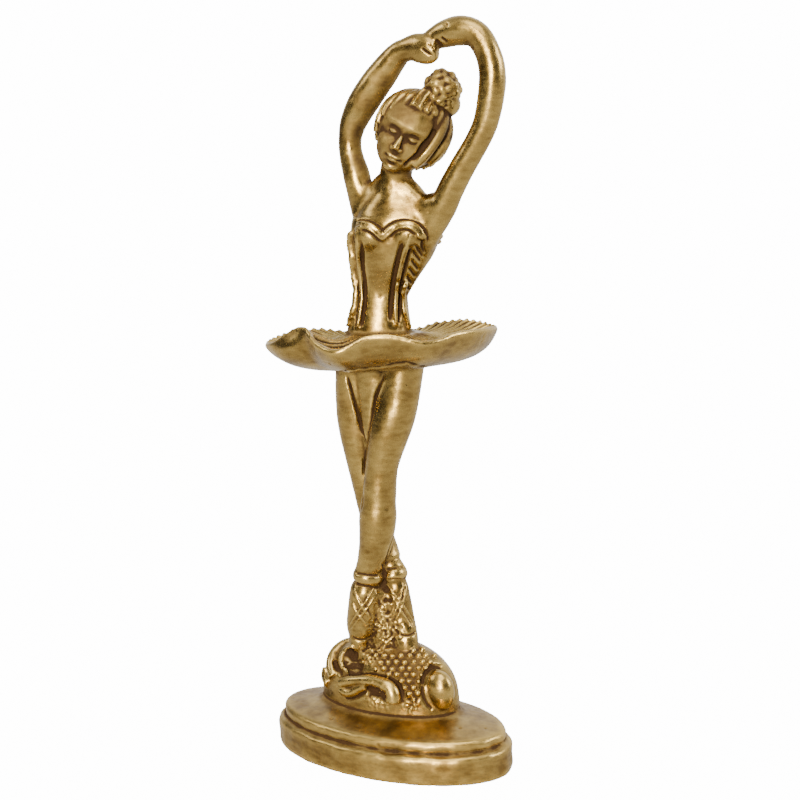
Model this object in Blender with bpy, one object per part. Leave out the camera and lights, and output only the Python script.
"""A ballerina figurine in one brass casting: a dancer on a rocky mound on a two-tier oval plinth.

The dancer faces -Y, the plinth's long axis is X, and the origin is the middle of the underside.
"""

import math

import bmesh
import bpy
import numpy as np
from mathutils import Matrix, Vector
from mathutils.bvhtree import BVHTree

# Driving dimensions in metres
PLINTH_LENGTH = 0.0648
PLINTH_DEPTH = 0.0354
LOWER_TIER_HEIGHT = 0.0070
UPPER_TIER_HEIGHT = 0.0033
TIER_STEP = 0.0016
GROOVE_DEPTH = 0.0006
FOOT_ROUND = 0.0007
TIER_ROUND = 0.0013
PLINTH_CROWN = 0.0018
MOUND_LENGTH = 0.0384
MOUND_DEPTH = 0.0204
MOUND_HEIGHT = 0.0149
FIGURE_HEIGHT = 0.1535

# The pose is drawn on a grid of squares, this many to the figure's height
SQUARES = 153.0
SQUARE = FIGURE_HEIGHT / SQUARES
STANCE = (-0.5, 2.0)
MOUND_MIDDLE = (-1.9, 3.0)
PLINTH_TOP = LOWER_TIER_HEIGHT + UPPER_TIER_HEIGHT
MOUND_FOOT = PLINTH_TOP + PLINTH_CROWN
SOLE = MOUND_FOOT + MOUND_HEIGHT

# Fineness of the solid
PLINTH_SIDES = 60
VOXEL = 0.5 * SQUARE
CASTING_FACES = 7600

# Which way the chest looks, seen from above and measured from the front
CHEST_TURN = math.radians(16.0)
CHEST_FRONT = Vector((math.sin(CHEST_TURN), -math.cos(CHEST_TURN), 0.0))
CHEST_LEFT = Vector((math.cos(CHEST_TURN), math.sin(CHEST_TURN), 0.0))

# The head leans to the dancer's left
HEAD_UP = Vector((0.49, -0.03, 0.87)).normalized()
HEAD_LOOK = Vector((0.31, -0.95, 0.0))
HEAD_FRONT = (HEAD_LOOK - HEAD_UP * HEAD_LOOK.dot(HEAD_UP)).normalized()
HEAD_LEFT = HEAD_UP.cross(HEAD_FRONT)

# Stations of the limbs: x, y, height over the sole, radius, all in squares
REAR_LEG = [
    (-7.8, 0.8, 74.0, 5.6),
    (-8.4, 0.6, 63.3, 5.3),
    (-8.2, 0.5, 55.7, 4.9),
    (-7.0, 1.2, 43.0, 3.7),
    (-5.4, 1.5, 35.1, 3.6),
    (-3.4, 1.5, 27.6, 3.7),
    (-0.9, 1.2, 22.0, 3.4),
]
FRONT_LEG = [
    (6.0, -0.5, 74.0, 5.1),
    (4.7, -1.4, 64.1, 5.0),
    (3.5, -2.0, 59.2, 5.1),
    (1.9, -2.5, 54.2, 4.9),
    (0.2, -2.9, 47.0, 4.1),
    (-0.8, -3.0, 39.1, 4.3),
    (-1.3, -3.0, 33.9, 4.7),
    (-2.1, -3.0, 27.5, 4.2),
    (-3.8, -3.0, 21.5, 3.5),
]
REAR_SHOE = [
    (-0.4, 1.1, 21.0, 3.0),
    (0.3, 1.0, 20.2, 3.0),
    (0.6, 1.0, 19.2, 3.3),
    (0.8, 1.0, 18.0, 3.3),
    (0.9, 1.0, 17.2, 2.9),
    (1.2, 1.0, 15.0, 3.2),
    (1.9, 1.0, 10.1, 3.4),
    (2.8, 0.9, 5.5, 3.4),
    (3.5, 0.8, 3.8, 3.3),
]
REAR_TOE = [
    (3.3, 0.6, 6.0, 2.9),
    (4.0, 0.2, 3.0, 3.1),
    (4.7, -0.3, 0.6, 2.9),
    (5.2, -0.8, -1.4, 2.3),
]
FRONT_SHOE = [
    (-4.0, -3.0, 21.5, 3.5),
    (-4.3, -3.0, 20.2, 3.5),
    (-4.5, -3.0, 19.2, 3.8),
    (-4.7, -3.0, 18.0, 3.8),
    (-4.9, -3.0, 17.0, 3.4),
    (-5.4, -2.9, 15.0, 4.0),
    (-6.2, -2.8, 10.2, 4.1),
    (-7.0, -2.8, 5.6, 3.9),
    (-7.3, -2.8, 3.4, 3.4),
]
FRONT_TOE = [
    (-6.9, -3.0, 6.0, 3.1),
    (-7.3, -3.2, 3.0, 3.0),
    (-7.5, -3.4, 0.8, 2.6),
    (-7.6, -3.6, -1.4, 2.0),
]
RIGHT_ARM = [
    (-2.2, 0.0, 103.0, 2.6),
    (-4.1, 0.0, 108.0, 3.0),
    (-5.1, 0.0, 113.5, 3.3),
    (-6.2, 0.0, 118.5, 3.3),
    (-7.4, 0.0, 122.9, 2.9),
    (-7.7, 0.0, 126.5, 2.8),
    (-6.8, 0.0, 130.3, 3.2),
    (-4.5, 0.0, 134.2, 3.65),
    (-1.4, 0.0, 138.1, 3.75),
    (2.1, -0.1, 141.8, 3.55),
    (5.4, -0.4, 144.9, 3.1),
    (8.4, -0.9, 147.0, 2.6),
]
LEFT_ARM = [
    (10.0, 0.8, 100.0, 3.0),
    (13.6, 0.6, 105.0, 3.2),
    (16.6, 0.4, 109.6, 3.35),
    (19.2, 0.2, 114.2, 3.2),
    (22.7, 0.0, 119.5, 3.0),
    (26.1, 0.0, 124.4, 2.9),
    (28.6, 0.0, 129.4, 2.95),
    (30.0, 0.0, 136.0, 3.15),
    (30.1, 0.0, 140.5, 3.1),
    (28.9, -0.2, 144.9, 2.95),
    (26.3, -0.3, 148.5, 3.1),
    (22.4, -0.4, 149.6, 3.4),
    (18.6, -0.4, 149.2, 3.1),
    (15.6, -0.3, 148.4, 2.5),
    (13.0, -0.2, 147.4, 1.8),
]
NECK = [
    (4.2, 0.0, 111.0, 5.0),
    (4.2, -0.1, 114.6, 4.3),
    (4.6, -0.2, 117.0, 3.95),
    (5.5, -0.4, 120.5, 3.9),
    (6.9, -0.5, 124.0, 4.2),
]
YOKE = [
    (-5.0, 0.2, 111.4, 3.2),
    (-1.3, 0.2, 112.8, 3.1),
    (1.6, 0.1, 115.2, 3.3),
    (4.8, 0.0, 115.4, 3.7),
    (8.6, 0.1, 112.7, 3.3),
    (11.7, 0.2, 109.6, 3.1),
    (15.4, 0.3, 110.6, 3.3),
]

# Stations of the torso: x, y, height, half width, half depth
TORSO = [
    (-1.3, 0.0, 72.6, 10.0, 7.2),
    (-1.2, 0.0, 75.0, 10.0, 7.2),
    (-1.0, 0.0, 79.5, 8.3, 6.4),
    (-0.7, 0.0, 84.0, 7.4, 5.6),
    (-0.2, 0.0, 89.3, 6.6, 5.0),
    (0.3, 0.0, 91.7, 7.0, 5.1),
    (1.3, 0.0, 95.6, 8.4, 5.6),
    (2.4, 0.0, 99.4, 9.8, 6.2),
    (3.6, 0.0, 103.2, 10.8, 6.4),
    (4.7, 0.0, 107.0, 10.8, 5.9),
    (4.6, 0.0, 110.0, 9.0, 5.0),
    (4.6, 0.0, 112.4, 6.4, 4.4),
    (4.8, 0.0, 114.4, 4.0, 3.8),
]

# The flat panel between the thighs: x, y, height, half width, half depth
THIGH_PANEL = [
    (-1.8, 0.2, 74.0, 7.0, 4.8),
    (-2.2, 0.0, 63.0, 5.0, 4.5),
    (-3.0, -0.4, 55.0, 3.2, 4.0),
    (-3.6, -0.8, 48.5, 1.6, 3.4),
]

# The web of metal between the shoes: its middle and its half sizes
WEB_MIDDLE = (-1.6, -0.4, 5.0)
WEB_SIZE = (4.1, 2.8, 12.6)

# The hand that lies on the other wrist: x, y, height, half height, half depth
HAND = [
    (7.6, -0.8, 146.2, 2.8, 2.4),
    (10.4, -1.3, 146.8, 3.1, 2.1),
    (13.2, -1.9, 146.3, 3.4, 2.1),
    (15.6, -2.2, 145.6, 3.2, 1.9),
    (17.5, -2.3, 145.6, 2.2, 1.4),
]
FINGERS = 4
FINGER_FIRST = (12.6, -2.9, 145.4)
FINGER_NEXT = (1.75, 0.05, 1.15)
FINGER_RUN = (2.7, -0.4, -2.0)
FINGER_RADIUS = 0.95

# The tutu: rim height and the turn about the dancer that it is reached at, in squares and degrees
TUTU_VIEW = -62.0
TUTU_RIM = [
    (-180.0, 78.7),
    (-158.0, 79.0),
    (-136.0, 80.3),
    (-114.0, 79.9),
    (-100.0, 79.2),
    (-80.0, 78.6),
    (-68.0, 79.4),
    (-58.0, 82.6),
    (-50.0, 83.6),
    (-45.0, 83.0),
    (-37.0, 80.3),
    (-25.0, 78.4),
    (-20.0, 78.7),
    (-12.0, 81.3),
    (-5.0, 81.9),
    (4.0, 81.7),
    (20.0, 79.9),
    (44.0, 81.6),
    (68.0, 81.6),
    (92.0, 81.1),
    (128.0, 82.0),
    (150.0, 81.0),
    (161.0, 79.2),
]
TUTU_CENTRE = (0.3, 0.5)
TUTU_REACH = 29.3
TUTU_CURL = 0.75
TUTU_BULGE = 0.8
LOBE_BULGE = 4.4
LOBE_VIEW = -57.0
LOBE_WIDTH = 12.0
TUTU_SPREAD = 0.9
TUTU_BELLY = 2.2
TUTU_LEVEL = 79.0
TUTU_HUB = 8.6
TUTU_HUB_LOW = 71.9
TUTU_HUB_LEAN = 0.7
TUTU_HUB_HIGH = 80.0
TUTU_SAG = 2.0
TUTU_EDGE = 1.1
TUTU_BOWL = 3.3
TUTU_BOWL_LEAN = 0.6
PLEATS = 44
PLEAT_DEPTH = 0.55
TUTU_TURNS = 252
TUTU_STEPS = 14

# The head and hair, in squares along the head's own left, front and up
HEAD_MIDDLE = (8.95, -0.6, 127.5)
CRANIUM = (0.0, -0.6, 1.4, 7.4, 7.7, 7.6)
JAW = (0.0, 1.4, -3.4, 6.1, 6.0, 6.3)
CHIN = (0.0, 4.6, -7.7, 2.3, 1.9, 1.8)
NOSE = (0.0, 7.3, -1.9, 0.9, 1.3, 2.3)
HAIR_MASS = (0.2, -1.8, 0.2, 8.2, 7.4, 8.7)
HAIR_BACK_TILT = math.radians(24.0)
STRANDS = 20
STRAND_RADIUS = 1.25
STRAND_RISE = 0.35
BUN_SIDE = 2.7
BUN_OUT = 11.9
BUN_BACK = 2.4
BUN_RADIUS = 4.1
BUN_CURLS = 34
CURL_RADIUS = 1.15
COLLAR_RADIUS = 3.6

# Trim of the bodice
TRIM_RADIUS = 0.62
RIDGE_RADIUS = 0.75
ROPE_RADIUS = 0.62
ROPE_TWISTS = 13

# The mound's stones
BUMP_RADIUS = 0.85
BUMP_ROWS = 6
BUMP_SPACING = 2.1
BOULDER = (14.4, -3.4, -7.6)
BOULDER_SIZE = (3.9, 2.9, 5.3)
BRANCH = [
    (-9.4, -8.2, -8.2, 1.5),
    (-4.6, -9.4, -6.6, 1.35),
    (0.2, -9.7, -5.6, 1.4),
    (3.8, -9.6, -6.6, 1.6),
    (5.7, -9.9, -10.0, 1.7),
]
HOOK = [
    (-8.6, -9.4, -10.2, 1.2),
    (-5.4, -10.2, -9.6, 1.2),
    (-2.6, -10.0, -7.4, 1.1),
]
SHELL_RIDGES = 4


def clear_scene():
    for item in list(bpy.data.objects):
        bpy.data.objects.remove(item, do_unlink=True)


def place(x, y, z):
    """A point of the figure's grid, in metres."""
    return Vector(((x + STANCE[0]) * SQUARE, (y + STANCE[1]) * SQUARE, SOLE + z * SQUARE))


def grid(point):
    """The grid place of a point in metres."""
    return (point.x / SQUARE - STANCE[0], point.y / SQUARE - STANCE[1], (point.z - SOLE) / SQUARE)


def smooth_rows(rows, steps):
    """Rows of numbers eased through a Catmull-Rom curve, with steps rows to each gap."""
    knots = np.array([rows[0], *rows, rows[-1]], dtype=float)
    eased = []
    for first in range(len(rows) - 1):
        before, start, end, after = knots[first:first + 4]
        for step in range(steps):
            t = step / steps
            eased.append(
                0.5 * (2 * start + (end - before) * t
                       + (2 * before - 5 * start + 4 * end - after) * t ** 2
                       + (3 * start - before - 3 * end + after) * t ** 3)
            )
    eased.append(knots[-2])
    return eased


def skin_rings(shell, rings):
    """Close a stack of rings into a tube with capped ends."""
    corners = [[shell.verts.new(point) for point in ring] for ring in rings]
    for low, high in zip(corners, corners[1:]):
        for at in range(len(low)):
            after = (at + 1) % len(low)
            shell.faces.new((low[at], low[after], high[after], high[at]))
    shell.faces.new(list(reversed(corners[0])))
    shell.faces.new(corners[-1])


def add_tube(shell, rows, sides=20, steps=4, across=None):
    """A tube along rows of x, y, height and one or two radii; across is the first radius's way."""
    eased = smooth_rows(rows, steps)
    points = [place(*row[:3]) for row in eased]
    rings = []
    for at, row in enumerate(eased):
        along = (points[min(at + 1, len(points) - 1)] - points[max(at - 1, 0)]).normalized()
        guide = across if across else Vector((0.0, 1.0, 0.0))
        side = (guide - along * guide.dot(along)).normalized()
        other = along.cross(side)
        wide = row[3] * SQUARE
        deep = row[-1] * SQUARE
        rings.append([
            points[at] + side * wide * math.cos(turn) + other * deep * math.sin(turn)
            for turn in turns(sides)
        ])
    skin_rings(shell, rings)


def turns(count):
    return [math.tau * step / count for step in range(count)]


def add_ball(shell, middle, radii, frame=Matrix.Identity(3), fine=3):
    """An ellipsoid of three radii, in metres, turned by a frame."""
    shape = Matrix.Translation(middle) @ frame.to_4x4() @ Matrix.Diagonal((*radii, 1.0))
    bmesh.ops.create_icosphere(shell, subdivisions=fine, radius=1.0, matrix=shape)


def add_upright(shell, rows, sides=36, steps=5):
    """A stack of level ovals that share the chest's turn."""
    rings = []
    for x, y, z, wide, deep in smooth_rows(rows, steps):
        middle = place(x, y, z)
        rings.append([
            middle + (CHEST_LEFT * wide * math.cos(turn) - CHEST_FRONT * deep * math.sin(turn)) * SQUARE
            for turn in turns(sides)
        ])
    skin_rings(shell, rings)


def add_legs(shell):
    add_tube(shell, REAR_LEG, 28)
    add_tube(shell, FRONT_LEG, 28)
    add_upright(shell, THIGH_PANEL)
    for rows in (REAR_SHOE, FRONT_SHOE, REAR_TOE, FRONT_TOE):
        add_tube(shell, rows, 24)
    add_ball(shell, place(*WEB_MIDDLE), [size * SQUARE for size in WEB_SIZE])


def rim_height(turn):
    """The rim's height in squares at a turn about the dancer, in degrees from the nearest wave."""
    whole = [TUTU_RIM[-1][0] - 360.0, *[row[0] for row in TUTU_RIM], TUTU_RIM[0][0] + 360.0]
    level = [TUTU_RIM[-1][1], *[row[1] for row in TUTU_RIM], TUTU_RIM[0][1]]
    at = (turn + 180.0) % 360.0 - 180.0
    after = int(np.searchsorted(whole, at, side="right"))
    start, end = whole[after - 1], whole[after]
    t = (at - start) / (end - start)
    ease = t * t * (3.0 - 2.0 * t)
    return level[after - 1] + (level[after] - level[after - 1]) * ease


def tutu_ring(turn):
    """One radial section of the tutu, from the hub's underside round the rim to its top."""
    view = math.degrees(turn) - TUTU_VIEW
    height = rim_height(view)
    reach = TUTU_REACH - TUTU_CURL * (height - TUTU_LEVEL) - 1.6 * math.cos(math.radians(view)) ** 2
    bowl = TUTU_BOWL + TUTU_BOWL_LEAN * math.sin(math.radians(view))
    hub = TUTU_HUB_LOW + TUTU_HUB_LEAN * math.sin(math.radians(view))
    aside = ((view - LOBE_VIEW + 180.0) % 360.0 - 180.0) / LOBE_WIDTH
    bulge = TUTU_BULGE + (LOBE_BULGE - TUTU_BULGE) * math.exp(-aside * aside)
    fold = 0.5 - 0.5 * math.cos(PLEATS * turn)
    way = Vector((math.cos(turn), math.sin(turn), 0.0))
    middle = place(TUTU_CENTRE[0], TUTU_CENTRE[1], 0.0)
    section = []
    for step in range(TUTU_STEPS + 1):
        t = step / TUTU_STEPS
        out = TUTU_HUB + (reach - TUTU_HUB) * t ** TUTU_SPREAD + bulge * math.sin(math.pi * t ** TUTU_BELLY)
        up = hub + (height - TUTU_EDGE - hub) * t ** bowl
        section.append(middle + way * out * SQUARE + Vector((0.0, 0.0, up * SQUARE)))
    for step in range(TUTU_STEPS + 1):
        t = 1.0 - step / TUTU_STEPS
        out = TUTU_HUB + (reach - 0.3 - TUTU_HUB) * t
        dip = TUTU_SAG * math.sin(math.pi * t)
        up = TUTU_HUB_HIGH + (height - TUTU_HUB_HIGH) * t - dip - PLEAT_DEPTH * fold * t
        section.append(middle + way * out * SQUARE + Vector((0.0, 0.0, up * SQUARE)))
    return section


def add_tutu(shell):
    sections = [[shell.verts.new(point) for point in tutu_ring(turn)] for turn in turns(TUTU_TURNS)]
    for at, here in enumerate(sections):
        there = sections[(at + 1) % len(sections)]
        for low in range(len(here) - 1):
            shell.faces.new((here[low], there[low], there[low + 1], here[low + 1]))
    shell.faces.new([section[0] for section in reversed(sections)])
    shell.faces.new([section[-1] for section in sections])


def add_torso(shell):
    add_tube(shell, TORSO, 36, 5, CHEST_LEFT)
    for side in (-1.0, 1.0):
        bust = place(3.5, 0.0, 103.6) + (CHEST_LEFT * side * 4.5 + CHEST_FRONT * 3.4) * SQUARE
        add_ball(shell, bust, [size * SQUARE for size in (4.4, 3.9, 4.6)])


def chest_path(skin, rows, lift):
    """Points on the torso's skin, from rows of height and turn from the front in degrees."""
    heights = [row[2] for row in TORSO]
    path = []
    for z, turn in rows:
        x = np.interp(z, heights, [row[0] for row in TORSO])
        y = np.interp(z, heights, [row[1] for row in TORSO])
        way = CHEST_FRONT * math.cos(math.radians(turn)) + CHEST_LEFT * math.sin(math.radians(turn))
        far = place(x, y, z) + way * 30.0 * SQUARE
        hit = skin.ray_cast(far, -way)[0]
        path.append(hit + way * lift * SQUARE)
    return path


def add_strip(shell, path, radius, sides=8):
    """A thin round strip along a path of points in metres."""
    rows = [(*grid(point), radius) for point in path]
    add_tube(shell, rows, sides, steps=2, across=Vector((0.31, -0.2, 0.93)).normalized())


def add_rope(shell, path, radius):
    """A rope of beads laid slantwise along a path."""
    for at in range(len(path) - 1):
        along = (path[at + 1] - path[at]).normalized()
        side = along.cross(CHEST_FRONT).normalized()
        lay = (along + side * 0.9).normalized()
        frame = Matrix((lay, lay.cross(CHEST_FRONT).normalized(), CHEST_FRONT)).transposed()
        sizes = (radius * 1.7 * SQUARE, radius * SQUARE, radius * 1.2 * SQUARE)
        add_ball(shell, (path[at] + path[at + 1]) / 2, sizes, frame, 2)


def neckline(turn):
    """The height of the sweetheart neckline at a turn from the front, in squares and degrees."""
    lobe = abs(math.sin(math.radians(min(abs(turn) * 1.9, 125.0))))
    back = max(abs(turn) - 62.0, 0.0) * 0.085
    return 104.6 + 2.6 * lobe - back


def add_bodice_trim(shell, skin):
    for drop, thick in ((0.0, TRIM_RADIUS), (1.25, TRIM_RADIUS * 0.8)):
        rows = [(neckline(turn) - drop, turn) for turn in range(-100, 101, 8)]
        add_strip(shell, chest_path(skin, rows, 0.15), thick)
    for side in (-1.0, 1.0):
        for inner, radius in ((38.0, RIDGE_RADIUS), (56.0, RIDGE_RADIUS * 0.7)):
            rows = [(z, side * (inner + 6.0 * math.sin((z - 80.0) / 8.0))) for z in range(81, 105, 3)]
            add_strip(shell, chest_path(skin, rows, 0.1), radius)
        rows = [(80.0 + 22.0 * step / ROPE_TWISTS, side * 80.0) for step in range(ROPE_TWISTS + 1)]
        add_rope(shell, chest_path(skin, rows, -0.3), ROPE_RADIUS)


def add_arms(shell):
    for rows in (RIGHT_ARM, LEFT_ARM, YOKE):
        add_tube(shell, rows, 24)
    add_tube(shell, HAND, 20, across=Vector((0.2, 0.0, 1.0)).normalized())
    for finger in range(FINGERS):
        start = [FINGER_FIRST[axis] + finger * FINGER_NEXT[axis] for axis in range(3)]
        end = [start[axis] + FINGER_RUN[axis] for axis in range(3)]
        add_tube(shell, [(*start, FINGER_RADIUS), (*end, FINGER_RADIUS * 0.8)], 10, 3)


def head_point(left, front, up):
    """A point given along the head's own left, front and up, in squares."""
    return place(*HEAD_MIDDLE) + (HEAD_LEFT * left + HEAD_FRONT * front + HEAD_UP * up) * SQUARE


def add_head_ball(shell, numbers, fine=3):
    frame = Matrix((HEAD_LEFT, HEAD_FRONT, HEAD_UP)).transposed()
    add_ball(shell, head_point(*numbers[:3]), [size * SQUARE for size in numbers[3:]], frame, fine)


def hair_point(turn, slant, rise):
    """A point of the hair at a turn about the bun's axis and a slant down from it."""
    left, front, up, wide, deep, tall = HAIR_MASS
    ring = math.sin(slant)
    side = ring * math.sin(turn)
    fore = ring * math.cos(turn)
    top = math.cos(slant)
    tilted_fore = fore * math.cos(HAIR_BACK_TILT) - top * math.sin(HAIR_BACK_TILT)
    tilted_top = top * math.cos(HAIR_BACK_TILT) + fore * math.sin(HAIR_BACK_TILT)
    return head_point(
        left + (wide + rise) * side,
        front + (deep + rise) * tilted_fore,
        up + (tall + rise) * tilted_top,
    )


def strand_end(turn):
    """How far a strand comes down: short over the forehead, long at the sides and the nape."""
    away = 0.5 - 0.5 * math.cos(turn)
    return math.radians(64.0 + 78.0 * away ** 0.7)


def add_hair(shell):
    add_head_ball(shell, HAIR_MASS)
    for strand in range(STRANDS):
        turn = math.tau * (strand + 0.5) / STRANDS
        last = strand_end(turn)
        first = math.radians(16.0)
        rows = []
        for step in range(7):
            t = step / 6
            point = hair_point(turn, first + (last - first) * t, STRAND_RISE)
            thick = STRAND_RADIUS * (0.45 + 0.55 * math.sin(math.pi * min(0.25 + 0.75 * t, 0.9)))
            rows.append((*grid(point), thick))
        add_tube(shell, rows, 10, 2)


def add_bun(shell):
    middle = head_point(BUN_SIDE, -BUN_BACK, BUN_OUT)
    add_ball(shell, middle, [BUN_RADIUS * size * SQUARE for size in (1.05, 1.0, 1.1)])
    golden = math.pi * (3.0 - math.sqrt(5.0))
    for curl in range(BUN_CURLS):
        up = 1.0 - 1.5 * (curl + 0.5) / BUN_CURLS
        ring = math.sqrt(1.0 - up * up)
        turn = golden * curl
        way = HEAD_UP * up + (HEAD_LEFT * math.cos(turn) + HEAD_FRONT * math.sin(turn)) * ring
        add_ball(shell, middle + way * BUN_RADIUS * SQUARE, [CURL_RADIUS * SQUARE] * 3, fine=2)
    collar = head_point(BUN_SIDE / 2, -BUN_BACK, BUN_OUT - 4.0)
    frame = Matrix((HEAD_LEFT, HEAD_FRONT, HEAD_UP)).transposed()
    add_ball(shell, collar, [size * SQUARE for size in (COLLAR_RADIUS, COLLAR_RADIUS, 0.9)], frame)


def add_head(shell):
    add_tube(shell, NECK, 24)
    for numbers in (CRANIUM, JAW, CHIN, NOSE):
        add_head_ball(shell, numbers)
    add_hair(shell)
    add_bun(shell)


def mound_point(turn, rise, proud=0.0):
    """A point on the mound's skin at a turn and a share of its height, in metres."""
    ring = math.sqrt(max(1.0 - rise ** 2.9, 0.0))
    return Vector((
        (MOUND_LENGTH / 2 + proud) * ring * math.cos(turn) + MOUND_MIDDLE[0] * SQUARE,
        (MOUND_DEPTH / 2 + proud) * ring * math.sin(turn) + MOUND_MIDDLE[1] * SQUARE,
        MOUND_FOOT + (MOUND_HEIGHT + 1.8 * SQUARE + proud) * rise,
    ))


def add_mound(shell):
    rises = [math.sin(math.pi / 2 * step / 12) * 0.985 for step in range(13)]
    rings = [[mound_point(turn, rise) for turn in turns(40)] for rise in rises]
    foot = [Vector((point.x, point.y, PLINTH_TOP - UPPER_TIER_HEIGHT / 2)) for point in rings[0]]
    skin_rings(shell, [foot, *rings])


def add_stones(shell):
    """The pebbled front, the boulder, the branch with its hook and the ridges at the left."""
    for row in range(BUMP_ROWS):
        rise = 0.30 + 0.11 * row
        wide = math.radians(62.0 - 5.0 * row)
        count = int(round(2.0 * wide * MOUND_LENGTH / 2 * 0.75 / (BUMP_SPACING * SQUARE)))
        for bump in range(count):
            turn = math.radians(-72.0) + wide * (2.0 * (bump + 0.5 * (row % 2)) / count - 1.0)
            add_ball(shell, mound_point(turn, rise), [BUMP_RADIUS * SQUARE] * 3, fine=2)
    lean = Matrix.Rotation(math.radians(-12.0), 3, "Y")
    add_ball(shell, place(*BOULDER), [size * SQUARE for size in BOULDER_SIZE], lean)
    add_tube(shell, BRANCH, 12, across=Vector((0.0, 0.3, 1.0)).normalized())
    add_tube(shell, HOOK, 12, across=Vector((0.0, 0.3, 1.0)).normalized())
    for ridge in range(SHELL_RIDGES):
        turn = math.radians(-118.0 - 17.0 * ridge)
        rows = []
        for step in range(5):
            point = mound_point(turn - math.radians(5.0) * step, 0.18 + 0.18 * step)
            rows.append((*grid(point), 1.0))
        add_tube(shell, rows, 10, 2, across=Vector((0.3, 0.3, 0.9)).normalized())


def quarter(middle_inset, middle_height, radius, start, steps=3):
    """Inset and height pairs along a quarter circle; start is its first turn in degrees."""
    pairs = []
    for step in range(steps + 1):
        turn = math.radians(start + 90.0 * step / steps)
        pairs.append((middle_inset - radius * math.cos(turn), middle_height + radius * math.sin(turn)))
    return pairs


def plinth_profile():
    """Inset from the outer oval and height, from the foot to the edge of the domed top."""
    step_edge = TIER_STEP + GROOVE_DEPTH
    upper_round = min(TIER_ROUND, UPPER_TIER_HEIGHT * 0.45)
    profile = [*quarter(FOOT_ROUND, FOOT_ROUND, FOOT_ROUND, -90.0)]
    profile += quarter(TIER_ROUND, LOWER_TIER_HEIGHT - TIER_ROUND, TIER_ROUND, 0.0)
    profile.append((step_edge, LOWER_TIER_HEIGHT))
    profile.append((step_edge, LOWER_TIER_HEIGHT + UPPER_TIER_HEIGHT * 0.12))
    profile.append((TIER_STEP, LOWER_TIER_HEIGHT + UPPER_TIER_HEIGHT * 0.3))
    profile += quarter(TIER_STEP + upper_round, PLINTH_TOP - upper_round, upper_round, 0.0)
    return profile


def oval(inset, height, share=1.0):
    long_half = (PLINTH_LENGTH / 2 - inset) * share
    short_half = (PLINTH_DEPTH / 2 - inset) * share
    return [Vector((long_half * math.cos(turn), short_half * math.sin(turn), height))
            for turn in turns(PLINTH_SIDES)]


def make_plinth():
    profile = plinth_profile()
    rings = [oval(inset, height) for inset, height in profile]
    inset = profile[-1][0]
    for share in (0.92, 0.78, 0.55, 0.25):
        rings.append(oval(inset, PLINTH_TOP + PLINTH_CROWN * (1.0 - share ** 2), share))
    shell = bmesh.new()
    skin_rings(shell, rings)
    return shell


def make_dancer():
    """All the forms of the dancer and the mound as closed shells that run into each other."""
    body = bmesh.new()
    add_torso(body)
    skin = BVHTree.FromBMesh(body)
    add_legs(body)
    add_tutu(body)
    add_bodice_trim(body, skin)
    add_arms(body)
    add_head(body)
    add_mound(body)
    add_stones(body)
    bmesh.ops.recalc_face_normals(body, faces=body.faces)
    return body


def to_object(name, shell):
    mesh = bpy.data.meshes.new(name)
    shell.to_mesh(mesh)
    shell.free()
    item = bpy.data.objects.new(name, mesh)
    bpy.context.scene.collection.objects.link(item)
    return item


def faces_now(item):
    bpy.context.view_layer.update()
    seen = item.evaluated_get(bpy.context.evaluated_depsgraph_get())
    return sum(len(face.vertices) - 2 for face in seen.data.polygons)


def melt_together(item):
    """Melt the crossing shells into one skin and thin it to a faceted solid."""
    melt = item.modifiers.new("melt", "REMESH")
    melt.mode = "VOXEL"
    melt.voxel_size = VOXEL
    ease = item.modifiers.new("ease", "SMOOTH")
    ease.factor = 0.4
    ease.iterations = 1
    thin = item.modifiers.new("thin", "DECIMATE")
    thin.ratio = CASTING_FACES / faces_now(item)


def brass():
    material = bpy.data.materials.new("antique brass")
    material.use_nodes = True
    shader = material.node_tree.nodes["Principled BSDF"]
    shader.inputs["Base Color"].default_value = (0.55, 0.36, 0.12, 1.0)
    shader.inputs["Metallic"].default_value = 1.0
    shader.inputs["Roughness"].default_value = 0.36
    return material


def main():
    clear_scene()
    dancer = to_object("dancer_guide", make_dancer())
    melt_together(dancer)
    dancer.hide_render = True
    dancer.display_type = "WIRE"
    figurine = to_object("ballerina_figurine", make_plinth())
    join = figurine.modifiers.new("join", "BOOLEAN")
    join.operation = "UNION"
    join.object = dancer
    join.solver = "EXACT"
    figurine.data.materials.append(brass())
    figurine.data.shade_smooth()


main()
